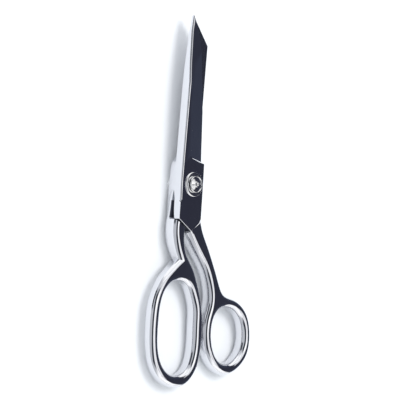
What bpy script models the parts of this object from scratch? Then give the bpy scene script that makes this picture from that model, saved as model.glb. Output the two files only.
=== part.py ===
"""Bent dressmaking shears: two forged halves that turn on one pivot screw.

Frame: metres, +Z up, +Y towards the blade tips. The origin is on the pivot axis, at the
outer face of the lock nut. The shears are modelled closed. Positive turn of the thumb
half about +Z opens them.
"""
import math

import bmesh
import bpy
from mathutils import Matrix, Vector

MM = 0.001                     # every dimension below is in millimetres

# Stack of thicknesses on the pivot, from the lock nut up
NUT_HEIGHT = 1.9
CLEARANCE = 0.3                # running or resting gap between neighbouring pieces
LOWER_FACE_Z = NUT_HEIGHT + CLEARANCE
SEAM_Z = 6.5                   # plane in which the two halves slide on each other
TOP_FACE_Z = 12.0
WASHER_THICKNESS = 0.7
HEAD_HEIGHT = 1.1
SEAM_LOW = SEAM_Z - CLEARANCE / 2
SEAM_HIGH = SEAM_Z + CLEARANCE / 2

# Handles
EDGE_ROUND = 2.8               # rounding of the handle limbs
WEDGE_DEPTH = 1.6              # depth of the relief slot beside the pivot
HEEL_GAP = 0.5                 # closing stop: heel of one half to shoulder of the other

# Pivot
SCREW_RADIUS = 3.1
HOLE_RADIUS = SCREW_RADIUS + CLEARANCE
HEAD_RADIUS = 4.75
SLOT_WIDTH = 1.1
SLOT_DEPTH = 0.7
WASHER_RADIUS = 7.6
NUT_CORNER_RADIUS = 8.0

# Blades
TIP_Y = 93.0
SLOPE_START_Y = 56.0           # the thumb blade thins from here to its point
TIP_THICKNESS = 1.5
GRIND_START_Y = 15.0           # end of the ground cutting bevel, at the pivot plate
GRIND_DROP = 2.1               # how far the bevel has dropped at the cutting edge
LOWER_EDGE_THICKNESS = 0.6
RICASSO_Y = 13.5

# Outlines, as (x, y) in millimetres, closed, seen from above
THUMB_BLADE = [
    (-9.6, 0), (-9.4, 10), (-8.4, 56), (-8.0, 67), (-6.9, 85), (-5.6, TIP_Y),
    (-1.5, 81.6), (-0.4, 74.5), (2.9, 54), (4.5, 41), (5.7, 20), (6.0, 14.2),
    (6.5, 11.8), (6.9, 0), (7.1, -18.5), (3.4, -27.5), (0.5, -25.8), (-3.5, -23.5),
    (-8.5, -20.5), (-9.6, -10),
]
FINGER_BLADE = [
    (7.5, 30), (7.5, 78.4), (-5.1, TIP_Y - 0.1), (-5.6, 60), (-5.6, 16.5),
    (-6.6, RICASSO_Y), (-9.2, RICASSO_Y - 1.5), (-9.6, 0), (-9.6, -19.5),
    (-5.0, -26.0), (-1.4, -26.6), (5.0, -22.6), (9.0, -19.6), (8.6, 0), (8.2, 12),
]
THUMB_SHOULDER = [(9.4, -20.4), (4.9, -23.4), (0.6, -26.0), (-6.0, -30.0)]
SHANK_START = [(12.0, -15.4), (7.4, -19.2), (1.0, -25.0), (-6.0, -30.6)]
FINGER_SHOULDER = [(-14.0, -17.4), (-8.5, -20.5), (-3.5, -23.5), (0.5, -25.8), (6.0, -29.2)]

THUMB_HANDLE = [
    (0.6, -27.5), (8.7, -37.2), (14.8, -44.8), (19.0, -52.7), (21.2, -60.4),
    (20.9, -66.5), (19.2, -72.8), (18.6, -79.5), (19.9, -87.0), (23.3, -93.0),
    (28.9, -98.5), (36.9, -101.3), (44.4, -99.8), (50.6, -95.6), (54.9, -90.2),
    (56.7, -83.5), (56.6, -75.5), (54.1, -68.3), (49.1, -63.2), (42.4, -60.5),
    (35.4, -59.3), (31.4, -57.9), (28.4, -54.3), (25.4, -48.7), (21.0, -40.8),
    (15.3, -31.5), (9.6, -21.5), (5.6, -14.0), (-3.4, -20.0),
]
THUMB_CORNERS = (26, 27, 28)   # square inner end, buried in the pivot plate
THUMB_HOLE = [
    (25.1, -79.5), (26.2, -72.5), (30.2, -67.3), (36.6, -65.6), (43.2, -67.2),
    (48.3, -72.0), (50.3, -79.0), (49.4, -85.8), (45.4, -91.4), (39.2, -94.6),
    (32.2, -93.2), (27.2, -87.7),
]
FINGER_HANDLE = [
    (-8.8, -2.6), (-10.2, -6.0), (-10.9, -16.0), (-11.7, -23.0), (-11.4, -28.5), (-10.2, -33.0),
    (-8.3, -37.6), (-5.9, -42.0), (-8.6, -44.4), (-13.4, -48.9), (-16.7, -52.4), (-19.6, -57.0),
    (-22.0, -62.2), (-23.4, -68.0), (-23.9, -76.6), (-23.5, -85.0), (-22.4, -92.5),
    (-20.6, -98.5), (-17.5, -103.8), (-12.4, -108.4), (-6.1, -111.1), (0.4, -111.7),
    (7.0, -110.0), (12.6, -105.6), (15.8, -99.8), (17.2, -93.5), (17.8, -87.0),
    (17.8, -80.0), (17.1, -73.0), (15.4, -66.0), (13.2, -59.5), (10.3, -53.2),
    (7.0, -47.0), (3.2, -42.2), (0.0, -38.0), (-1.8, -33.0), (-2.4, -27.0), (-1.4, -16.0), (-1.2, -6.0), (-2.6, -2.6), (-5.7, -1.2),
]
FINGER_CORNERS = (7,)          # the sharp inside corner where the bow leaves the shank
FINGER_HOLE = [
    (-16.9, -77.5), (-16.4, -67.5), (-14.0, -59.8), (-9.2, -55.1), (-3.0, -53.9),
    (2.6, -55.8), (6.3, -60.8), (9.2, -67.5), (10.2, -77.0), (10.7, -86.0),
    (10.0, -95.0), (7.2, -101.3), (1.2, -105.0), (-5.4, -104.8), (-11.0, -101.4),
    (-14.6, -95.6), (-16.4, -87.5),
]

PARTS = "dressmaking_shears"
CUTTERS = "cutters"


# ---------------------------------------------------------------- scene and helpers
def clear_scene():
    for item in list(bpy.data.objects):
        bpy.data.objects.remove(item, do_unlink=True)


def collection(name):
    group = bpy.data.collections.new(name)
    bpy.context.scene.collection.children.link(group)
    return group


def chrome(name, colour, roughness):
    material = bpy.data.materials.new(name)
    material.use_nodes = True
    shader = material.node_tree.nodes["Principled BSDF"]
    shader.inputs["Base Color"].default_value = (*colour, 1.0)
    shader.inputs["Metallic"].default_value = 1.0
    shader.inputs["Roughness"].default_value = roughness
    return material


def add_spline(curve, points, smooth, corners=()):
    """Add one closed outline: smooth through its points, or straight between them."""
    spline = curve.splines.new("BEZIER")
    spline.bezier_points.add(len(points) - 1)
    for index, (point, (x, y)) in enumerate(zip(spline.bezier_points, points)):
        point.co = (x * MM, y * MM, 0)
        kind = "AUTO" if smooth and index not in corners else "VECTOR"
        point.handle_left_type = kind
        point.handle_right_type = kind
    spline.use_cyclic_u = True
    spline.resolution_u = 5 if smooth else 1


def slab(name, group, outlines, z_low, z_high, rounding=0.0, smooth=False, corners=()):
    """A flat outline given thickness, with its upper and lower edges rounded inwards."""
    curve = bpy.data.curves.new(name, "CURVE")
    curve.dimensions = "2D"
    curve.fill_mode = "BOTH"
    curve.extrude = ((z_high - z_low) / 2 - rounding) * MM
    curve.bevel_depth = rounding * MM
    curve.bevel_resolution = 3
    curve.offset = -rounding * MM
    for number, points in enumerate(outlines):
        add_spline(curve, points, smooth, corners if number == 0 else ())
    source = bpy.data.objects.new(name + "_outline", curve)
    source.location.z = (z_low + z_high) / 2 * MM
    group.objects.link(source)
    bpy.context.view_layer.update()
    evaluated = source.evaluated_get(bpy.context.evaluated_depsgraph_get())
    mesh = bpy.data.meshes.new_from_object(evaluated)
    mesh.transform(source.matrix_world)
    bpy.data.objects.remove(source, do_unlink=True)
    shape = bmesh.new()
    shape.from_mesh(mesh)
    bmesh.ops.remove_doubles(shape, verts=shape.verts, dist=0.001 * MM)
    bmesh.ops.recalc_face_normals(shape, faces=shape.faces)
    shape.to_mesh(mesh)
    shape.free()
    result = bpy.data.objects.new(name, mesh)
    group.objects.link(result)
    return result


def cylinder(name, group, radius, z_low, z_high, sides=48):
    """An upright cylinder on the pivot axis."""
    shape = bmesh.new()
    middle = Matrix.Translation((0, 0, (z_low + z_high) / 2 * MM))
    bmesh.ops.create_cone(shape, cap_ends=True, segments=sides, radius1=radius * MM,
                          radius2=radius * MM, depth=(z_high - z_low) * MM, matrix=middle)
    mesh = bpy.data.meshes.new(name)
    shape.to_mesh(mesh)
    shape.free()
    result = bpy.data.objects.new(name, mesh)
    group.objects.link(result)
    return result


def box(name, group, low, high, turn=Matrix()):
    """A box between two corners in millimetres, then turned and placed by a matrix."""
    shape = bmesh.new()
    bmesh.ops.create_cube(shape, size=MM)
    size = Vector(high) - Vector(low)
    centre = (Vector(high) + Vector(low)) / 2 * MM
    bmesh.ops.scale(shape, vec=size, verts=shape.verts)
    bmesh.ops.translate(shape, vec=centre, verts=shape.verts)
    bmesh.ops.transform(shape, matrix=turn, verts=shape.verts)
    mesh = bpy.data.meshes.new(name)
    shape.to_mesh(mesh)
    shape.free()
    result = bpy.data.objects.new(name, mesh)
    group.objects.link(result)
    return result


def combine(target, tool, operation):
    """Join a tool to the target, or cut it away. The tool stays as a wire guide."""
    modifier = target.modifiers.new(operation.lower() + "_" + tool.name, "BOOLEAN")
    modifier.operation = operation
    modifier.solver = "EXACT"
    modifier.object = tool
    tool.hide_render = True
    tool.display_type = "WIRE"


def finish(item, material, flat_angle=30.0):
    item.data.materials.clear()
    item.data.materials.append(material)
    item.data.shade_smooth()
    item.data.set_sharp_from_angle(angle=math.radians(flat_angle))


# ---------------------------------------------------------------- thumb half
def top_slope_cutter(group):
    """Takes the top of the thumb blade down to its thin point."""
    run = TIP_Y - SLOPE_START_Y
    drop = TOP_FACE_Z - SEAM_HIGH - TIP_THICKNESS
    hinge = Vector((0, SLOPE_START_Y, TOP_FACE_Z)) * MM
    tilt = Matrix.Translation(hinge) @ Matrix.Rotation(-math.atan2(drop, run), 4, "X")
    return box("blade_slope_cutter", group, (-30, 0, 0), (30, 60, 20), tilt)


def grind_cutter(group):
    """Takes the ground bevel off the thumb blade, along its cutting edge."""
    width = 7.5
    edge_x = 6.0
    hinge = Vector((edge_x - width, GRIND_START_Y, TOP_FACE_Z)) * MM
    lean = math.atan2(7.0, 78.0)
    across = Matrix.Rotation(math.atan2(GRIND_DROP, width), 4, "Y")
    turn = Matrix.Translation(hinge) @ Matrix.Rotation(lean, 4, "Z") @ across
    return box("edge_grind_cutter", group, (0, 0, 0), (30, 90, 12), turn)


def thumb_half(parts, cutters, material):
    half = slab("thumb_half", parts, [THUMB_BLADE], SEAM_HIGH, TOP_FACE_Z)
    combine(half, grind_cutter(cutters), "DIFFERENCE")
    combine(half, top_slope_cutter(cutters), "DIFFERENCE")
    handle = slab("thumb_handle_shape", cutters, [THUMB_HANDLE, THUMB_HOLE],
                  LOWER_FACE_Z, TOP_FACE_Z + 0.02, EDGE_ROUND, smooth=True,
                  corners=THUMB_CORNERS)
    # below the seam the handle stops at the shoulder, clear of the other half's heel
    keep_clear = [(x, y - HEEL_GAP) for x, y in THUMB_SHOULDER] + [(-6, 0), (14, 0)]
    keep_clear.insert(0, (14, -17.4 - HEEL_GAP))
    combine(handle, slab("thumb_shoulder_cutter", cutters, [keep_clear], 0, SEAM_HIGH),
            "DIFFERENCE")
    # above the seam it starts at a slanting line across the pivot plate
    plate_side = SHANK_START + [(-6, 0), (12, 0)]
    combine(handle, slab("shank_start_cutter", cutters, [plate_side], SEAM_HIGH - 0.02, 20),
            "DIFFERENCE")
    combine(half, handle, "UNION")
    combine(half, cylinder("thumb_pivot_hole", cutters, HOLE_RADIUS, 0, 20), "DIFFERENCE")
    slot = box("thumb_relief_cutter", cutters, (-12, -30, 0),
               (-9.6 + WEDGE_DEPTH, -8, SEAM_Z + 1.5))
    combine(half, slot, "DIFFERENCE")
    finish(half, material)
    return half


# ---------------------------------------------------------------- finger half
def finger_half(parts, cutters, material):
    half = slab("finger_half", parts, [FINGER_BLADE], LOWER_FACE_Z, SEAM_LOW)
    underside = Vector((0, SLOPE_START_Y, LOWER_FACE_Z)) * MM
    run = TIP_Y - SLOPE_START_Y
    drop = SEAM_LOW - LOWER_FACE_Z - TIP_THICKNESS
    tilt = Matrix.Translation(underside) @ Matrix.Rotation(math.atan2(drop, run), 4, "X")
    combine(half, box("lower_slope_cutter", cutters, (-30, 0, -20), (30, 60, 0), tilt),
            "DIFFERENCE")
    bevel_width = 7.0
    drop = SEAM_LOW - LOWER_FACE_Z - LOWER_EDGE_THICKNESS
    hinge = Vector((-5.6 + bevel_width, RICASSO_Y + 3, LOWER_FACE_Z)) * MM
    across = Matrix.Translation(hinge) @ Matrix.Rotation(math.atan2(drop, bevel_width), 4, "Y")
    combine(half, box("lower_grind_cutter", cutters, (-30, 0, -12), (0, 90, 0), across),
            "DIFFERENCE")
    handle = slab("finger_handle_shape", cutters, [FINGER_HANDLE, FINGER_HOLE],
                  LOWER_FACE_Z - 0.02, TOP_FACE_Z, EDGE_ROUND, smooth=True,
                  corners=FINGER_CORNERS)
    # above the seam the handle stops at the shoulder, clear of the other half's heel
    keep_clear = [(x, y - HEEL_GAP) for x, y in FINGER_SHOULDER] + [(14, 0), (-14, 0)]
    combine(handle, slab("finger_shoulder_cutter", cutters, [keep_clear], SEAM_LOW, 20),
            "DIFFERENCE")
    combine(half, handle, "UNION")
    combine(half, cylinder("finger_pivot_hole", cutters, HOLE_RADIUS, 0, 20), "DIFFERENCE")
    slot = box("finger_relief_cutter", cutters, (-16, -18.5, SEAM_Z - 1.5),
               (-9.6 + WEDGE_DEPTH, -8, 20))
    combine(half, slot, "DIFFERENCE")
    finish(half, material)
    return half


# ---------------------------------------------------------------- pivot hardware
def turned(name, group, profile, closed=False, sides=48):
    """Turn an (r, z) profile about the pivot axis; it runs down its outer side."""
    mesh = bpy.data.meshes.new(name)
    edges = [(index, index + 1) for index in range(len(profile) - 1)]
    if closed:
        edges.append((len(profile) - 1, 0))
    mesh.from_pydata([(r * MM, 0, z * MM) for r, z in profile], edges, [])
    item = bpy.data.objects.new(name, mesh)
    group.objects.link(item)
    screw = item.modifiers.new("turn", "SCREW")
    screw.steps = sides
    screw.render_steps = sides
    screw.use_merge_vertices = True
    screw.merge_threshold = 0.001 * MM
    return item


def pivot_screw(parts, cutters, material):
    seat = TOP_FACE_Z + WASHER_THICKNESS + 2 * CLEARANCE
    top = seat + HEAD_HEIGHT
    profile = [
        (0, top - 0.35), (1.0, top - 0.35), (1.0, top - 0.15), (1.6, top - 0.15),
        (2.4, top - 0.4), (3.9, top - 0.3), (4.3, top), (HEAD_RADIUS - 0.15, top),
        (HEAD_RADIUS, top - 0.15), (HEAD_RADIUS, seat), (SCREW_RADIUS, seat),
        (SCREW_RADIUS, 0.3), (SCREW_RADIUS - 0.3, 0), (0, 0),
    ]
    screw = turned("pivot_screw", parts, profile)
    slot = box("screw_slot_cutter", cutters, (-6, -SLOT_WIDTH / 2, top - SLOT_DEPTH),
               (6, SLOT_WIDTH / 2, top + 2), Matrix.Rotation(math.radians(25), 4, "Z"))
    combine(screw, slot, "DIFFERENCE")
    finish(screw, material)
    return screw


def head_washer(parts, material):
    low = TOP_FACE_Z + CLEARANCE
    high = low + WASHER_THICKNESS
    profile = [
        (HOLE_RADIUS, high), (WASHER_RADIUS - 0.25, high), (WASHER_RADIUS, high - 0.25),
        (WASHER_RADIUS, low), (HOLE_RADIUS, low),
    ]
    washer = turned("head_washer", parts, profile, closed=True)
    finish(washer, material)
    return washer


def lock_nut(parts, cutters, material):
    nut = cylinder("lock_nut", parts, NUT_CORNER_RADIUS, 0, NUT_HEIGHT, sides=6)
    nut.data.transform(Matrix.Rotation(math.radians(30), 4, "Z"))
    bore = cylinder("nut_bore_cutter", cutters, HOLE_RADIUS, -1, 5)
    combine(nut, bore, "DIFFERENCE")
    finish(nut, material)
    return nut


def build():
    clear_scene()
    parts = collection(PARTS)
    cutters = collection(CUTTERS)
    pivot = bpy.data.objects.new("blade_pivot_axis", None)
    parts.objects.link(pivot)
    thumb = thumb_half(parts, cutters, chrome("thumb_chrome", (0.80, 0.81, 0.83), 0.06))
    thumb.parent = pivot
    finger_half(parts, cutters, chrome("finger_chrome", (0.78, 0.79, 0.81), 0.06))
    pivot_screw(parts, cutters, chrome("screw_nickel", (0.74, 0.74, 0.73), 0.12))
    head_washer(parts, chrome("washer_nickel", (0.82, 0.82, 0.81), 0.10))
    lock_nut(parts, cutters, chrome("nut_nickel", (0.70, 0.70, 0.70), 0.16))


build()
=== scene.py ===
"""Bent dressmaking shears in bright chrome plate, lying closed on a pale table."""
import math

import bmesh
import bpy
import numpy as np
from mathutils import Matrix, Vector


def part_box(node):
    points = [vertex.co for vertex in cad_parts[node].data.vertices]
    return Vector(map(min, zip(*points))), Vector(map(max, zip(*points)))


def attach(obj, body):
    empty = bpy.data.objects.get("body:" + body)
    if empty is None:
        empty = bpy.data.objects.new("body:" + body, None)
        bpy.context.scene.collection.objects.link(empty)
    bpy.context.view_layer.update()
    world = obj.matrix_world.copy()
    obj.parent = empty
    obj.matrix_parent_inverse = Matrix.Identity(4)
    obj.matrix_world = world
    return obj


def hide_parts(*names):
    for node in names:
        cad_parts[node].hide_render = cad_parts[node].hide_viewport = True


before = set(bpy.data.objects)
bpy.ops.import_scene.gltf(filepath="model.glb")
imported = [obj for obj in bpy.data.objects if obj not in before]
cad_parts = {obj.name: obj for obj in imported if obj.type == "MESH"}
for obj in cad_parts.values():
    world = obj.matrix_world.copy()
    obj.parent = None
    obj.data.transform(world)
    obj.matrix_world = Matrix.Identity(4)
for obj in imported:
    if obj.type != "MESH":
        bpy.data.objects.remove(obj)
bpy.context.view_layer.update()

MM = 0.001

# ------------------------------------------------------------------ sizes, millimetres
NUT_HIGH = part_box("lock_nut")[1].z / MM
FINGER_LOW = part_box("finger_half")[0].z / MM
THUMB_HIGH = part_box("thumb_half")[1].z / MM
WASHER_RADIUS = 0.9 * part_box("head_washer")[1].x / MM
HEAD_RADIUS = 0.97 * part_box("pivot_screw")[1].x / MM
SEAM = 6.5                     # plane in which the two halves slide
SEAM_GAP = 0.12                # oiled running gap, drawn finer than the solids' gap
TOP = THUMB_HIGH - 0.02        # top face of the pivot plate and the shanks
BOTTOM = FINGER_LOW + 0.02
LIMB_ROUND = 3.0               # rounding of the handles' limbs, seen from above
LIMB_WALL = 1.15               # half height of the straight wall before stretching
EDGE_BREAK = 0.2               # polished break on the plates' edges
SPINE_ROUND = 1.4              # fuller rounding along the back of the upper blade
SPINE_END = -10.5              # the rounding stops here, beside the pivot
HOLE_RADIUS = 3.3
HEEL_GAP = 1.5                 # between one half's heel and the other's shoulder
THIN_FROM = 56                 # from here to the tip both blades thin down
TIP = 93
TIP_THICKNESS = 1.5

THUMB_BLADE = [
    (-10.0, 0), (-10.0, 10), (-9.8, 50), (-9.3, 67), (-7.9, 85), (-6.0, 94.3),
    (-1.5, 81.6), (-0.4, 74.5), (2.9, 54), (4.7, 41), (6.0, 20), (6.4, 14.2),
    (6.9, 11.8), (7.3, 0), (7.7, -18.5), (3.4, -27.5), (0.5, -25.8),
    (-9.3, -20.0), (-9.5, -10),
]
FINGER_BLADE = [
    (7.8, 30), (7.9, 79.1), (-5.3, 94.2), (-5.6, 60), (-5.6, 16.5),
    (-6.6, 14.6), (-8.8, 11.6), (-9.5, 8), (-9.6, 0), (-9.4, -19.5),
    (-5.0, -26.0), (-1.4, -26.6), (5.0, -22.6), (9.0, -19.6), (8.6, 0), (8.2, 12),
]
THUMB_SHOULDER = [(14, -17.4), (9.4, -20.4), (4.9, -23.4), (0.6, -26.0), (-6.0, -30.0)]
FINGER_SHOULDER = [(-14.0, -17.4), (-8.5, -20.5), (-3.5, -23.5), (0.5, -25.8), (6.0, -29.2)]
SHANK_START = [(12.0, -16.4), (7.4, -20.3), (1.0, -26.0), (-6.0, -31.6)]

THUMB_HANDLE = [
    (0.1, -28.0), (8.0, -37.4), (14.6, -44.9), (19.0, -52.7), (21.2, -60.4),
    (20.9, -66.5), (19.2, -72.8), (18.6, -79.5), (19.9, -87.2), (23.3, -94.0),
    (29.0, -100.0), (37.2, -103.4), (45.4, -101.8), (52.0, -97.2), (56.3, -91.2),
    (57.8, -83.9), (56.9, -75.5), (53.9, -68.4), (48.7, -63.3), (42.3, -60.5),
    (35.6, -59.2), (32.0, -57.6), (29.1, -53.9), (26.3, -48.7), (21.9, -40.8),
    (16.2, -31.5), (10.4, -21.5), (6.2, -14.0), (-3.4, -20.0),
]
THUMB_HOLE = [
    (25.1, -79.5), (26.2, -72.5), (30.2, -67.3), (36.6, -65.6), (43.2, -67.2),
    (48.7, -72.0), (51.3, -79.2), (50.9, -86.9), (46.8, -93.3), (39.9, -97.0),
    (32.4, -95.2), (27.2, -88.9),
]
FINGER_HANDLE = [
    (-5.9, -42.0), (-8.6, -44.4), (-13.4, -48.9), (-16.7, -52.4), (-19.6, -57.0),
    (-22.0, -62.2), (-23.4, -68.0), (-23.9, -76.6), (-23.5, -85.0), (-22.4, -92.5),
    (-20.6, -98.5), (-17.5, -103.8), (-12.4, -108.7), (-6.1, -111.5), (0.4, -112.1),
    (7.0, -110.4), (12.6, -105.6), (15.8, -99.8), (17.2, -93.5), (17.8, -87.0),
    (17.8, -80.0), (17.1, -73.0), (15.4, -66.0), (13.2, -59.5), (10.3, -53.2),
    (7.0, -47.0), (3.2, -42.2), (0.0, -38.0), (-1.8, -33.0), (-2.4, -27.0),
    (-1.4, -16.0), (-1.2, -6.0), (-2.6, -2.6), (-5.7, -1.2), (-8.8, -2.6),
    (-10.2, -6.0), (-10.9, -16.0), (-11.7, -23.0), (-11.4, -28.5), (-10.2, -33.0),
    (-8.3, -37.6),
]
FINGER_HOLE = [
    (-17.4, -77.5), (-16.9, -67.5), (-14.2, -59.8), (-9.2, -55.1), (-3.0, -53.9),
    (2.6, -55.8), (6.3, -60.8), (9.2, -67.5), (10.2, -77.0), (10.7, -86.0),
    (10.0, -95.0), (7.2, -101.3), (1.2, -105.0), (-5.4, -104.8), (-11.0, -101.4),
    (-14.9, -95.6), (-16.9, -87.5),
]


# ------------------------------------------------------------------ modelling helpers
def only(item):
    """Make one object the only selected and active one."""
    bpy.ops.object.select_all(action="DESELECT")
    item.select_set(True)
    bpy.context.view_layer.objects.active = item


def smooth_line(points, closed, step=0.6):
    """A curve of continuous curvature through the points, sampled evenly.

    Each coordinate is a cubic spline over the distance between the points.
    """
    knots = np.array(points, float)
    if closed:
        knots = np.vstack([knots, knots[:1]])
    count = len(knots)
    span = np.linalg.norm(np.diff(knots, axis=0), axis=1)
    slope = np.diff(knots, axis=0) / span[:, None]
    system = np.zeros((count, count))
    target = np.zeros((count, 2))
    for i in range(1, count - 1):
        system[i, i - 1:i + 2] = span[i - 1] / 6, (span[i - 1] + span[i]) / 3, span[i] / 6
        target[i] = slope[i] - slope[i - 1]
    if closed:
        system[0, 0], system[0, -1] = 1, -1
        system[-1, 0], system[-1, 1] = span[0] / 3, span[0] / 6
        system[-1, -2], system[-1, -1] = span[-1] / 6, span[-1] / 3
        target[-1] = slope[0] - slope[-1]
    else:
        system[0, 0] = system[-1, -1] = 1
    bend = np.linalg.solve(system, target)
    line = []
    for i in range(count - 1):
        pieces = max(1, round(span[i] / step))
        for part in range(pieces):
            b = part / pieces
            a = 1 - b
            line.append(a * knots[i] + b * knots[i + 1] + span[i] ** 2 / 6
                        * ((a ** 3 - a) * bend[i] + (b ** 3 - b) * bend[i + 1]))
    if not closed:
        line.append(knots[-1])
    return line


def outline_solid(name, outlines, low, high, rounding=0.0, wall=None, segments=8):
    """Flat outlines given thickness, with elliptical upper and lower edges."""
    bpy.ops.object.select_all(action="DESELECT")
    bpy.ops.curve.primitive_bezier_circle_add(radius=MM)
    solid = bpy.context.object
    solid.name = name
    curve = solid.data
    curve.splines.clear()
    for points in outlines:
        spline = curve.splines.new("POLY")
        spline.points.add(len(points) - 1)
        for slot, (x, y) in zip(spline.points, points):
            slot.co = (x * MM, y * MM, 0, 1)
        spline.use_cyclic_u = True
    half = (high - low) / 2
    wall = half - rounding if wall is None else wall
    curve.dimensions = "2D"
    curve.fill_mode = "BOTH"
    curve.extrude = wall * MM
    curve.bevel_depth = rounding * MM
    curve.bevel_resolution = segments
    curve.offset = -rounding * MM
    bpy.ops.object.convert(target="MESH")
    solid = bpy.context.object
    stretch = half / (wall + rounding)
    solid.data.transform(Matrix.Translation((0, 0, (low + high) / 2 * MM))
                         @ Matrix.Diagonal((1, 1, stretch, 1)))
    bpy.ops.object.mode_set(mode="EDIT")
    bpy.ops.mesh.select_all(action="SELECT")
    bpy.ops.mesh.remove_doubles(threshold=0.0005 * MM)
    bpy.ops.mesh.normals_make_consistent(inside=False)
    bpy.ops.object.mode_set(mode="OBJECT")
    return solid


def drum(name, radius, low, high, sides=96):
    """A solid cylinder about the pivot's axis."""
    bpy.ops.object.select_all(action="DESELECT")
    bpy.ops.mesh.primitive_cylinder_add(vertices=sides, radius=radius * MM, depth=(high - low) * MM,
                                        location=(0, 0, (low + high) / 2 * MM))
    solid = bpy.context.object
    solid.name = name
    bpy.ops.object.transform_apply()
    return solid


def block(name, low, high):
    """A box between two opposite corners."""
    bpy.ops.object.select_all(action="DESELECT")
    centre = (Vector(low) + Vector(high)) / 2 * MM
    bpy.ops.mesh.primitive_cube_add(size=1, location=centre)
    solid = bpy.context.object
    solid.name = name
    solid.scale = (Vector(high) - Vector(low)) * MM
    bpy.ops.object.transform_apply()
    return solid


def turned(name, profile, closed=False, sides=96):
    """A turned piece, drawn out ring by ring from its lowest outer edge, up and inwards."""
    radius, height = profile[0]
    bpy.ops.object.select_all(action="DESELECT")
    bpy.ops.mesh.primitive_circle_add(vertices=sides, radius=radius * MM,
                                      location=(0, 0, height * MM))
    piece = bpy.context.object
    piece.name = name
    bpy.ops.object.transform_apply()
    bpy.ops.object.mode_set(mode="EDIT")
    bpy.ops.mesh.select_all(action="SELECT")
    if closed:
        profile = profile + profile[:1]
    for (radius, height), (next_radius, next_height) in zip(profile, profile[1:]):
        bpy.ops.mesh.extrude_edges_move(
            TRANSFORM_OT_translate={"value": (0, 0, (next_height - height) * MM)})
        grow = max(next_radius, 0.001) / radius
        bpy.ops.transform.resize(value=(grow, grow, 1), center_override=(0, 0, next_height * MM))
    bpy.ops.mesh.select_all(action="SELECT")
    bpy.ops.mesh.remove_doubles(threshold=0.002 * MM)
    bpy.ops.mesh.normals_make_consistent(inside=False)
    bpy.ops.object.mode_set(mode="OBJECT")
    return piece


def arc(centre, radius, start, end, steps=6):
    """Points of a profile's round corner, angles in degrees from outwards to upwards."""
    return [(centre[0] + radius * math.cos(math.radians(start + (end - start) * i / steps)),
             centre[1] + radius * math.sin(math.radians(start + (end - start) * i / steps)))
            for i in range(steps + 1)]


def boolean(target, tool, operation, lining=None):
    """Join a tool to the target or cut it away; the tool is used up.

    The faces that a cut leaves take the lining, where one is given.
    """
    if lining:
        tool.data.materials.append(lining)
    only(target)
    modifier = target.modifiers.new("join", "BOOLEAN")
    modifier.operation = operation
    modifier.solver = "EXACT"
    modifier.material_mode = "TRANSFER"
    modifier.object = tool
    bpy.ops.object.modifier_apply(modifier=modifier.name)
    bpy.data.objects.remove(tool, do_unlink=True)


def soften_edges(item, width, angle, segments=3):
    """Round every edge sharper than the angle."""
    only(item)
    bevel = item.modifiers.new("edge", "BEVEL")
    bevel.width = width * MM
    bevel.segments = segments
    bevel.limit_method = "ANGLE"
    bevel.angle_limit = math.radians(angle)
    bevel.use_clamp_overlap = True
    bpy.ops.object.modifier_apply(modifier=bevel.name)


def round_edges(item, wanted, width, segments=5):
    """Round the edges whose two ends, in millimetres, both pass the test."""
    only(item)
    bpy.ops.object.mode_set(mode="EDIT")
    bpy.ops.mesh.select_mode(type="EDGE")
    bpy.ops.mesh.select_all(action="DESELECT")
    shape = bmesh.from_edit_mesh(item.data)
    for edge in shape.edges:
        edge.select_set(all(wanted(*(vert.co / MM)) for vert in edge.verts))
    bmesh.update_edit_mesh(item.data)
    bpy.ops.mesh.bevel(offset=width * MM, segments=segments, affect="EDGES", clamp_overlap=True)
    bpy.ops.object.mode_set(mode="OBJECT")


def shade(item, angle=24):
    """Smooth the curved faces and keep the flat ones flat, with sharp edges past the angle."""
    only(item)
    bpy.ops.object.shade_smooth_by_angle(angle=math.radians(angle))
    weighted = item.modifiers.new("flat_faces_stay_flat", "WEIGHTED_NORMAL")
    weighted.keep_sharp = True
    weighted.weight = 100
    bpy.ops.object.modifier_apply(modifier=weighted.name)


def give(item, node_name, body):
    """Put a finished piece in the place of its CAD node, on its body."""
    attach(item, body)
    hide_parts(node_name)


# ------------------------------------------------------------------ the two forgings
GRIND_START = Vector((-4.4, 13.7, 0))            # where the ground bevel leaves the flat top
GRIND_FAR = Vector((-8.6, 57.0, 0))
GRIND_SLOPE = 11.4                               # degrees, falling to the cutting edge
GRIND_WHEEL = 1.8                                # the bevel ends in the wheel's own radius


def grind_cutter():
    """A slanted block with rounded lower edges, whose floor is the upper blade's ground bevel."""
    along = (GRIND_FAR - GRIND_START).normalized()
    across = Vector((along.y, -along.x, 0))
    heel = GRIND_START - Vector((0, 0.2, 0))
    run = Vector((1.0, -0.12, 0)).normalized()
    corners = [heel - run * 9, heel + run * 22, heel + run * 22 + along * 110,
               heel - run * 9 + along * 110]
    tool = outline_solid("grind", [[(corner.x, corner.y) for corner in corners]],
                         TOP, TOP + 12, GRIND_WHEEL)
    place = Matrix.Translation(Vector((GRIND_START.x, GRIND_START.y, TOP)) * MM)
    turn = Matrix.Rotation(math.radians(GRIND_SLOPE), 4, along)
    tool.data.transform(place @ turn @ place.inverted())
    return tool


def thinning_cutter(face, other_face):
    """A block on a blade's outer face, tilted so that it takes the tip down thin."""
    drop = abs(face - other_face) - TIP_THICKNESS
    side = 1 if face > other_face else -1
    tool = block("thinning", (-30, 0, min(0, 20 * side)), (30, 60, max(0, 20 * side)))
    tilt = Matrix.Rotation(-side * math.atan2(drop, TIP - THIN_FROM), 4, "X")
    tool.data.transform(Matrix.Translation(Vector((0, THIN_FROM, face)) * MM) @ tilt)
    return tool


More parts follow.
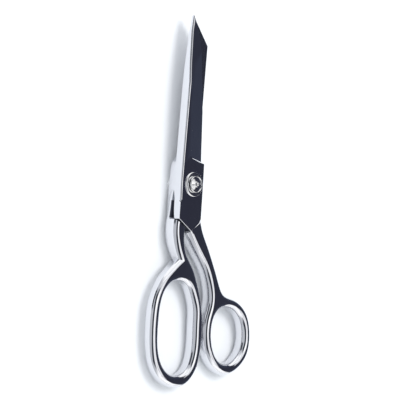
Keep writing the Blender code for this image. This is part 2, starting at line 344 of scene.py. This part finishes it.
def groove_cutter(start, end, depth_start, depth_end, width=2.0):
    """A square bar on its edge, sunk along a line on the top face."""
    start, end = (Vector((*point, TOP)) for point in (start, end))
    start.z -= depth_start
    end.z -= depth_end
    length = (end - start).length
    tool = block("groove", (0, -width / 2, -width / 2), (length, width / 2, width / 2))
    lift = Matrix.Translation((0, 0, width / math.sqrt(2) * MM))
    direction = (end - start).to_track_quat("X", "Z").to_matrix().to_4x4()
    tool.data.transform(Matrix.Translation(start * MM) @ direction @ lift
                        @ Matrix.Rotation(math.radians(45), 4, "X"))
    return tool


def on_spine(x, y):
    """True along the back of the upper blade, from beside the pivot to the tip."""
    spine = sorted(THUMB_BLADE[:6] + THUMB_BLADE[-1:], key=lambda point: point[1])
    return y > SPINE_END and abs(x - np.interp(y, *zip(*((b, a) for a, b in spine)))) < 0.03


RELIEF_LOW, RELIEF_HIGH = 6.0, 7.3               # height of the slot beside the pivot
RELIEF_HEEL, RELIEF_FRONT = -19.6, -9.9          # its ends along the shears
RELIEF_OPEN, RELIEF_FLOOR = -16, -4.5            # its open side and its floor


def relief_cutter(low, high):
    """A block with eased edges that opens the slot from the left; each half gives its share."""
    tool = block("relief", (RELIEF_OPEN, RELIEF_HEEL, low), (RELIEF_FLOOR, RELIEF_FRONT, high))
    soften_edges(tool, 0.4, 30)
    return tool


def heel_cutter():
    """A solid that takes a hair off the heel, so that its end wall gets the painted gap shade."""
    heel = [(-12.2, -18.3), (0.5, -25.7), (-3, -32), (-16, -25)]
    return outline_solid("heel", [heel], SEAM - 1, 20)


TAPER_START, TAPER_RUN = -33, 17                 # where the limbs begin to thin, going back
TAPER_INNER, TAPER_WIDTH = 14, 34                # from where they thin further, going left


def thin_limb(limb, even, outward):
    """Draw a loop's underside up, evenly and then more toward -X, as the forging tapers."""
    count = len(limb.data.vertices)
    spots = np.empty(count * 3)
    limb.data.vertices.foreach_get("co", spots)
    spots = spots.reshape(count, 3) / MM
    along = np.clip((TAPER_START - spots[:, 1]) / TAPER_RUN, 0, 1)
    across = np.clip((TAPER_INNER - spots[:, 0]) / TAPER_WIDTH, 0, 1)
    share = 1 - along * along * (3 - 2 * along) * (even + outward * across)
    spots[:, 2] = TOP - (TOP - spots[:, 2]) * share
    limb.data.vertices.foreach_set("co", (spots * MM).ravel())
    limb.data.update()


def thumb_half(chrome, dark):
    """Upper blade, pivot plate, shank and thumb ring in one forging."""
    plate = outline_solid("thumb_forging", [THUMB_BLADE], SEAM + SEAM_GAP / 2, TOP)
    plate.data.materials.append(chrome)
    # cuts given dark line their new faces with painted shade: the heel's end wall, the clearance
    # under the plate, the pivot hole and the slot beside the pivot
    boolean(plate, heel_cutter(), "DIFFERENCE", dark)
    boolean(plate, groove_cutter((-10.4, -19.5), (1.9, -26.6), 0.28, 0.28), "DIFFERENCE", chrome)
    boolean(plate, grind_cutter(), "DIFFERENCE", chrome)
    boolean(plate, thinning_cutter(TOP, SEAM), "DIFFERENCE", chrome)
    round_edges(plate, lambda x, y, z: z > SEAM + 0.5 and on_spine(x, y), SPINE_ROUND)
    soften_edges(plate, EDGE_BREAK, 62)
    handle = outline_solid(
        "thumb_limb", [smooth_line(THUMB_HANDLE, True), smooth_line(THUMB_HOLE, True)],
        BOTTOM, TOP + 0.015, LIMB_ROUND, LIMB_WALL)
    thin_limb(handle, 0.10, 0.0)
    handle.data.materials.append(chrome)
    under_plate = [(x, y - HEEL_GAP) for x, y in THUMB_SHOULDER] + [(-6, 0), (14, 0)]
    boolean(handle, outline_solid("clear", [under_plate], 0, SEAM + SEAM_GAP / 2 + 0.01),
            "DIFFERENCE", dark)
    over_plate = SHANK_START + [(-6, 0), (12, 0)]
    boolean(handle, outline_solid("clear", [over_plate], SEAM + SEAM_GAP / 2, 20),
            "DIFFERENCE", chrome)
    boolean(plate, handle, "UNION")
    boolean(plate, groove_cutter((9.6, -18.4), (3.6, -23.7), 0.38, 0.02), "DIFFERENCE", chrome)
    boolean(plate, drum("hole", HOLE_RADIUS, 0, 20), "DIFFERENCE", dark)
    boolean(plate, relief_cutter(SEAM - 3.5, RELIEF_HIGH), "DIFFERENCE", dark)
    shade(plate)
    return plate


def finger_half(chrome, dark, ground):
    """Lower blade, pivot plate, shank and finger bow in one forging."""
    plate = outline_solid("finger_forging", [FINGER_BLADE], BOTTOM, SEAM - SEAM_GAP / 2)
    plate.data.materials.append(chrome)
    soften_edges(plate, EDGE_BREAK, 35)
    boolean(plate, thinning_cutter(BOTTOM, SEAM), "DIFFERENCE", chrome)
    handle = outline_solid(
        "finger_limb",
        [smooth_line(FINGER_HANDLE + FINGER_HANDLE[:1], False)[:-1],
         smooth_line(FINGER_HOLE, True)],
        BOTTOM - 0.015, TOP, LIMB_ROUND, LIMB_WALL)
    thin_limb(handle, 0.08, 0.20)
    handle.data.materials.append(chrome)
    over_plate = [(x, y - HEEL_GAP) for x, y in FINGER_SHOULDER] + [(14, 0), (-14, 0)]
    # cuts given dark line their new faces with painted shade: the clearance over the plate, the pivot
    # hole and the slot beside the pivot
    boolean(handle, outline_solid("clear", [over_plate], SEAM - SEAM_GAP / 2, 20),
            "DIFFERENCE", dark)
    boolean(plate, handle, "UNION")
    boolean(plate, drum("hole", HOLE_RADIUS, 0, 20), "DIFFERENCE", dark)
    boolean(plate, relief_cutter(RELIEF_LOW, SEAM + 5.5), "DIFFERENCE", dark)
    # only the face that slides on the other half is surface-ground
    plate.data.materials.append(ground)
    for face in plate.data.polygons:
        if face.normal.z > 0.99 and abs(face.center.z / MM - (SEAM - SEAM_GAP / 2)) < 0.05:
            face.material_index = len(plate.data.materials) - 1
    shade(plate)
    return plate


# ------------------------------------------------------------------ the pivot hardware
WASHER_LOW, WASHER_HIGH = 12.05, 12.65
HEAD_LOW = 13.0
HEAD_RIM = 0.24                # radius of the raised rim's rounding
SLOT_WIDTH, SLOT_LENGTH = 0.64, 6.8
SLOT_TURN = math.radians(12)
BOSS_RADIUS = 1.72             # the raised centre, which the slot leaves whole
NUT_RADIUS = 8.9               # to its corners
NUT_HEIGHT = NUT_HIGH + 0.2    # nearly up to the lower half


def washer(nickel):
    ring = turned("domed_washer", [
        (3.4, WASHER_LOW), (WASHER_RADIUS - 0.6, WASHER_LOW),
        *arc((WASHER_RADIUS - 0.5, WASHER_HIGH - 0.5), 0.5, -20, 85, 8),
        (5.2, WASHER_HIGH), (3.4, WASHER_HIGH)], closed=True)
    ring.data.materials.append(nickel)
    shade(ring, 35)
    return ring


def screw(nickel, dark):
    head = turned("slotted_screw", [
        (2.0, 0.25), (3.1, 0.6), (3.1, WASHER_LOW + 0.3), (3.3, HEAD_LOW), (4.4, HEAD_LOW),
        (HEAD_RADIUS, HEAD_LOW + 0.3),
        *arc((HEAD_RADIUS - HEAD_RIM, HEAD_LOW + 0.96), HEAD_RIM, 0, 180, 8),
        (HEAD_RADIUS - 2 * HEAD_RIM - 0.05, HEAD_LOW + 0.80), (3.8, HEAD_LOW + 0.80),
        (3.2, HEAD_LOW + 0.96), (2.4, HEAD_LOW + 1.14), (1.8, HEAD_LOW + 1.23),
        *arc((1.2, HEAD_LOW + 1.16), 0.42, 20, 150, 6),
        (0.6, HEAD_LOW + 1.05), (0.0, HEAD_LOW + 0.95)])
    only(head)
    bpy.ops.object.mode_set(mode="EDIT")
    bpy.ops.mesh.select_all(action="SELECT")
    bpy.ops.mesh.fill_holes(sides=0)
    bpy.ops.mesh.normals_make_consistent(inside=False)
    bpy.ops.object.mode_set(mode="OBJECT")
    head.data.materials.append(nickel)
    slot = block("slot", (-SLOT_LENGTH / 2, -SLOT_WIDTH / 2, HEAD_LOW + 0.55),
                 (SLOT_LENGTH / 2, SLOT_WIDTH / 2, 20))
    boolean(slot, drum("boss", BOSS_RADIUS, 0, 30, 48), "DIFFERENCE")
    slot.data.transform(Matrix.Rotation(SLOT_TURN, 4, "Z"))
    # the slot's walls and floor take dark, painted shade
    boolean(head, slot, "DIFFERENCE", dark)
    shade(head, 35)
    return head


def nut(nickel):
    bpy.ops.object.select_all(action="DESELECT")
    bpy.ops.mesh.primitive_cylinder_add(vertices=6, radius=NUT_RADIUS * MM, depth=NUT_HEIGHT * MM,
                                        location=(0, 0, NUT_HEIGHT / 2 * MM),
                                        rotation=(0, 0, math.radians(30)))
    item = bpy.context.object
    item.name = "hex_lock_nut"
    bpy.ops.object.transform_apply()
    boolean(item, drum("bore", 3.2, -1, 5), "DIFFERENCE")
    item.data.materials.append(nickel)
    soften_edges(item, 0.25, 35)
    shade(item, 35)
    return item


# ------------------------------------------------------------------ materials
def linear(code):
    """sRGB hex to linear RGBA."""
    parts = [int(code[i:i + 2], 16) / 255 for i in (1, 3, 5)]
    return (*(c / 12.92 if c <= 0.04045 else ((c + 0.055) / 1.055) ** 2.4 for c in parts), 1)


def node(tree, kind, settings=None, inputs=None):
    """Add a node, set its properties, and set or link its inputs."""
    made = tree.nodes.new(kind)
    for key, value in (settings or {}).items():
        setattr(made, key, value)
    for key, value in (inputs or {}).items():
        if isinstance(value, bpy.types.NodeSocket):
            tree.links.new(value, made.inputs[key])
        else:
            made.inputs[key].default_value = value
    return made


def surface(name, colour, metallic):
    """A material of one plain colour, metal or not, ready for its surface nodes."""
    material = bpy.data.materials.new(name)
    material.use_nodes = True
    shader = material.node_tree.nodes["Principled BSDF"]
    shader.inputs["Base Color"].default_value = linear(colour)
    shader.inputs["Metallic"].default_value = metallic
    return material, material.node_tree, shader


def polished_chrome():
    """Bright chrome over hand-polished steel: mirror sharp, with the faint waves of the mop."""
    material, tree, shader = surface("hand_polished_chrome_plate", "#E2E3E7", 1)
    place = node(tree, "ShaderNodeTexCoord").outputs["Object"]
    waves = node(tree, "ShaderNodeTexNoise", None, {"Vector": place, "Scale": 150, "Detail": 2})
    wave_bump = node(tree, "ShaderNodeBump", None,
                     {"Height": waves.outputs["Fac"], "Distance": 0.0002, "Strength": 0.3})
    # polishing lines run along the shears, drawn 1.2 mm apart so that they show
    stretch = node(tree, "ShaderNodeMapping", None, {"Vector": place, "Scale": (850, 45, 850)})
    lines = node(tree, "ShaderNodeTexNoise", None,
                 {"Vector": stretch.outputs["Vector"], "Scale": 1, "Detail": 2})
    line_bump = node(tree, "ShaderNodeBump", None,
                     {"Height": lines.outputs["Fac"], "Distance": 0.00003, "Strength": 0.15,
                      "Normal": wave_bump.outputs["Normal"]})
    tree.links.new(line_bump.outputs["Normal"], shader.inputs["Normal"])
    haze = node(tree, "ShaderNodeTexNoise", None, {"Vector": place, "Scale": 60, "Detail": 4})
    rough = node(tree, "ShaderNodeMapRange", None,
                 {"Value": haze.outputs["Fac"], "From Min": 0.3, "From Max": 0.7,
                  "To Min": 0.02, "To Max": 0.07})
    tree.links.new(rough.outputs["Result"], shader.inputs["Roughness"])
    return material


def ground_steel():
    """Surface-ground inner face: bare steel, a little lighter and softer than the plate."""
    material, tree, shader = surface("surface_ground_steel", "#C4C6CC", 1)
    place = node(tree, "ShaderNodeTexCoord").outputs["Object"]
    stretch = node(tree, "ShaderNodeMapping", None, {"Vector": place, "Scale": (120, 2500, 120)})
    lines = node(tree, "ShaderNodeTexNoise", None,
                 {"Vector": stretch.outputs["Vector"], "Scale": 1, "Detail": 3})
    bump = node(tree, "ShaderNodeBump", None,
                {"Height": lines.outputs["Fac"], "Distance": 0.00002, "Strength": 0.5})
    tree.links.new(bump.outputs["Normal"], shader.inputs["Normal"])
    rough = node(tree, "ShaderNodeMapRange", None,
                 {"Value": lines.outputs["Fac"], "To Min": 0.08, "To Max": 0.15})
    tree.links.new(rough.outputs["Result"], shader.inputs["Roughness"])
    return material


def bright_nickel():
    """Bright nickel on the turned screw and washer: a shade warmer and softer than the chrome."""
    material, tree, shader = surface("bright_nickel_plate", "#E6E6E6", 1)
    place = node(tree, "ShaderNodeTexCoord").outputs["Object"]
    spots = node(tree, "ShaderNodeTexNoise", None, {"Vector": place, "Scale": 500, "Detail": 3})
    rough = node(tree, "ShaderNodeMapRange", None,
                 {"Value": spots.outputs["Fac"], "From Min": 0.35, "From Max": 0.65,
                  "To Min": 0.05, "To Max": 0.14})
    tree.links.new(rough.outputs["Result"], shader.inputs["Roughness"])
    bump = node(tree, "ShaderNodeBump", None,
                {"Height": spots.outputs["Fac"], "Distance": 0.00003, "Strength": 0.3})
    tree.links.new(bump.outputs["Normal"], shader.inputs["Normal"])
    return material


def painted_gap_shade():
    """Painted shade for the joint's gaps, the slots and the pivot hole: almost black, mottled, with a
    dull shine, standing in for the shade that falls in them.
    """
    material, tree, shader = surface("painted_shade_in_gaps", "#2A2C37", 0)
    place = node(tree, "ShaderNodeTexCoord").outputs["Object"]
    shade_mottle = node(tree, "ShaderNodeTexNoise", None, {"Vector": place, "Scale": 900, "Detail": 4})
    # two near-black tones of painted shade, mixed by the noise
    tint = node(tree, "ShaderNodeMix", {"data_type": "RGBA"},
                {"Factor": shade_mottle.outputs["Fac"], "A": linear("#2A2C37"), "B": linear("#454755")})
    tree.links.new(tint.outputs["Result"], shader.inputs["Base Color"])
    rough = node(tree, "ShaderNodeMapRange", None,
                 {"Value": shade_mottle.outputs["Fac"], "To Min": 0.35, "To Max": 0.6})
    tree.links.new(rough.outputs["Result"], shader.inputs["Roughness"])
    return material


# ------------------------------------------------------------------ studio
ELEVATION = math.radians(43.3)
HEADING = math.radians(6.7)       # the camera looks across the shears, from their left
DISTANCE = 1.0
FRAME_WIDTH = 0.2208              # what the view spans at the shears
PIVOT_TOP = Vector((0.9, 0, 12))  # just under the screw's head, in millimetres
VIEW_RIGHT = 2.70                 # from there to the middle of the view, to the right
VIEW_DOWN = 8.5                   # and downwards
REST_TILT = math.atan(0.030)      # lying on the nut and about on the ring, the tips rise a little


def camera():
    across = Vector((math.cos(HEADING), math.sin(HEADING), 0))
    up = Vector((-math.sin(HEADING), math.cos(HEADING), 0))
    right = math.sin(ELEVATION) * across + math.cos(ELEVATION) * Vector((0, 0, 1))
    back = -math.cos(ELEVATION) * across + math.sin(ELEVATION) * Vector((0, 0, 1))
    aim = (PIVOT_TOP + VIEW_RIGHT * right - VIEW_DOWN * up) * MM
    bpy.ops.object.camera_add(location=aim + back * DISTANCE)
    eye = bpy.context.object
    eye.matrix_world = Matrix.Translation(aim + back * DISTANCE) @ Matrix(
        (right, up, back)).transposed().to_4x4()
    eye.data.sensor_width = 36
    eye.data.lens = 36 * DISTANCE / FRAME_WIDTH
    bpy.context.scene.camera = eye


def table():
    """White matt card: an even pale ground that shows nothing but soft shadows."""
    bpy.ops.object.select_all(action="DESELECT")
    bpy.ops.mesh.primitive_plane_add(size=6)
    top = bpy.context.object
    top.name = "table_top"
    top.data.transform(Matrix.Rotation(-REST_TILT, 4, "X"))
    bpy.ops.object.transform_apply()
    material, _, shader = surface("white_matt_card", "#F4F4F5", 0)
    shader.inputs["Roughness"].default_value = 0.9
    shader.inputs["Specular IOR Level"].default_value = 0.1
    top.data.materials.append(material)


# patches of the tent: heading, half width, lowest, highest, softness of the edge, in degrees
TENT_GAP = (12, 40, -2, 52, 7)
DIM_SIDE = (186, 60, -4, 56, 22)
DARK_POST = (152, 13, -20, 32, 8)
# a dark beam overhead: lowest, highest, softness, along X and along Y of the sky's direction
BEAM_ACROSS = (-0.56, -0.02, 0.05)
BEAM_ALONG = (-0.62, 0.50, 0.12)
BEAM_FLOOR = 0.3
# brightness of the tent's parts
FOLD_SHADE = (0.80, 0.81, 0.84, 1)
FOLD_LIGHT = (1.45, 1.45, 1.45, 1)
DIM_TONE = (0.60, 0.62, 0.66, 1)
POST_TONE = (0.07, 0.075, 0.09, 1)
BEAM_TONE = (0.042, 0.045, 0.060, 1)
GAP_LOW_TONE = (0.050, 0.058, 0.088, 1)
GAP_HIGH_TONE = (0.033, 0.035, 0.053, 1)
ROOM_TONE = (0.91, 0.955, 1.0, 1)
WHITE = (1, 1, 1, 1)


def studio_world():
    """White tent, dim on one side, with a dark gap, a narrow dark post and a dark beam overhead.

    Only a polished face's own reflection sees the tent. Everything else gets even, slightly
    cool light, and the backdrop is plain white.
    """
    world = bpy.data.worlds.new("light_tent")
    bpy.context.scene.world = world
    world.use_nodes = True
    tree = world.node_tree
    tree.nodes.clear()
    way = node(tree, "ShaderNodeTexCoord").outputs["Generated"]
    axes = node(tree, "ShaderNodeSeparateXYZ", None, {"Vector": way})

    def calculate(operation, first, second=0.0, third=0.0):
        return node(tree, "ShaderNodeMath", {"operation": operation},
                    {0: first, 1: second, 2: third}).outputs[0]

    def zone(heading, width, low, high, soft):
        """1 inside a patch of the tent, 0 outside, with soft edges; all in degrees."""
        toward = Vector((math.cos(math.radians(heading)), math.sin(math.radians(heading))))
        ahead = calculate("ADD", calculate("MULTIPLY", axes.outputs["X"], toward.x),
                          calculate("MULTIPLY", axes.outputs["Y"], toward.y))
        aside = calculate("SUBTRACT", calculate("MULTIPLY", axes.outputs["Y"], toward.x),
                          calculate("MULTIPLY", axes.outputs["X"], toward.y))
        turn = calculate("ABSOLUTE", calculate("ARCTAN2", aside, ahead))
        rise = calculate("ARCSINE", axes.outputs["Z"])
        parts = []
        for value, full, none in ((turn, width, width + soft), (rise, low + soft / 2, low - soft / 2),
                                  (rise, high - soft / 2, high + soft / 2)):
            edge = node(tree, "ShaderNodeMapRange", {"interpolation_type": "SMOOTHSTEP"},
                        {"Value": value, "From Min": math.radians(none),
                         "From Max": math.radians(full)})
            parts.append(edge.outputs["Result"])
        return calculate("MULTIPLY", calculate("MULTIPLY", parts[0], parts[1]), parts[2])

    def over(base, patch, colour):
        return node(tree, "ShaderNodeMix", {"data_type": "RGBA"},
                    {"Factor": patch, "A": base, "B": colour}).outputs["Result"]

    def slit(value, low, high, soft):
        """1 between two values, 0 beyond them, with soft edges."""
        rising = node(tree, "ShaderNodeMapRange", {"interpolation_type": "SMOOTHSTEP"},
                      {"Value": value, "From Min": low - soft, "From Max": low + soft})
        falling = node(tree, "ShaderNodeMapRange", {"interpolation_type": "SMOOTHSTEP"},
                       {"Value": value, "From Min": high + soft, "From Max": high - soft})
        return calculate("MULTIPLY", rising.outputs["Result"], falling.outputs["Result"])

    above = calculate("GREATER_THAN", axes.outputs["Z"], BEAM_FLOOR)
    beam = calculate("MULTIPLY", above, calculate(
        "MULTIPLY", slit(axes.outputs["X"], *BEAM_ACROSS), slit(axes.outputs["Y"], *BEAM_ALONG)))
    # folds of the tent's cloth, level bands of slightly uneven white
    level = node(tree, "ShaderNodeMapping", None, {"Vector": way, "Scale": (1.2, 1.2, 7.0)})
    folds = node(tree, "ShaderNodeTexNoise", None,
                 {"Vector": level.outputs["Vector"], "Scale": 1.6, "Detail": 3})
    shades = node(tree, "ShaderNodeMapRange", None,
                  {"Value": folds.outputs["Fac"], "From Min": 0.36, "From Max": 0.6})
    tent = over(FOLD_SHADE, shades.outputs["Result"], FOLD_LIGHT)
    tent = over(tent, zone(*DIM_SIDE), DIM_TONE)
    tent = over(tent, zone(*DARK_POST), POST_TONE)
    tent = over(tent, beam, BEAM_TONE)
    depth = node(tree, "ShaderNodeMapRange", None,
                 {"Value": axes.outputs["Z"], "From Min": 0.25, "From Max": 0.7})
    gap = over(GAP_LOW_TONE, depth.outputs["Result"], GAP_HIGH_TONE)
    tent = over(tent, zone(*TENT_GAP), gap)
    path = node(tree, "ShaderNodeLightPath")
    room = node(tree, "ShaderNodeBackground", None, {"Color": ROOM_TONE})
    mirror_room = node(tree, "ShaderNodeBackground", None, {"Color": tent})
    backdrop = node(tree, "ShaderNodeBackground", None, {"Color": WHITE})
    unscattered = calculate("LESS_THAN", path.outputs["Diffuse Depth"], 0.5)
    mirrored = calculate("MULTIPLY", path.outputs["Is Glossy Ray"], unscattered)
    lit = node(tree, "ShaderNodeMixShader", None,
               {0: mirrored, 1: room.outputs[0], 2: mirror_room.outputs[0]})
    shown = node(tree, "ShaderNodeMixShader", None,
                 {0: path.outputs["Is Camera Ray"], 1: lit.outputs[0], 2: backdrop.outputs[0]})
    node(tree, "ShaderNodeOutputWorld", None, {"Surface": shown.outputs[0]})


LAMP_PLACE = (0.12, 0.33, 0.94)   # metres
LAMP_SIZE = 0.52
LAMP_POWER = 3.7


def soft_light():
    """One round lamp through the tent, for the shadows; no polished face mirrors it."""
    bpy.ops.object.select_all(action="DESELECT")
    bpy.ops.object.light_add(type="AREA", location=LAMP_PLACE)
    lamp = bpy.context.object
    lamp.name = "window_box"
    lamp.data.shape = "DISK"
    lamp.data.size = LAMP_SIZE
    lamp.data.energy = LAMP_POWER
    lamp.visible_glossy = False
    lamp.rotation_euler = (-lamp.location).to_track_quat("-Z", "Y").to_euler()


def build():
    chrome = polished_chrome()
    dark = painted_gap_shade()
    nickel = bright_nickel()
    give(thumb_half(chrome, dark), "thumb_half", "thumb_side")
    give(finger_half(chrome, dark, ground_steel()), "finger_half", "finger_side")
    give(screw(nickel, dark), "pivot_screw", "finger_side")
    give(washer(nickel), "head_washer", "finger_side")
    give(nut(nickel), "lock_nut", "finger_side")
    camera()
    table()
    studio_world()
    soft_light()
    bpy.context.scene.view_settings.view_transform = "Standard"


build()
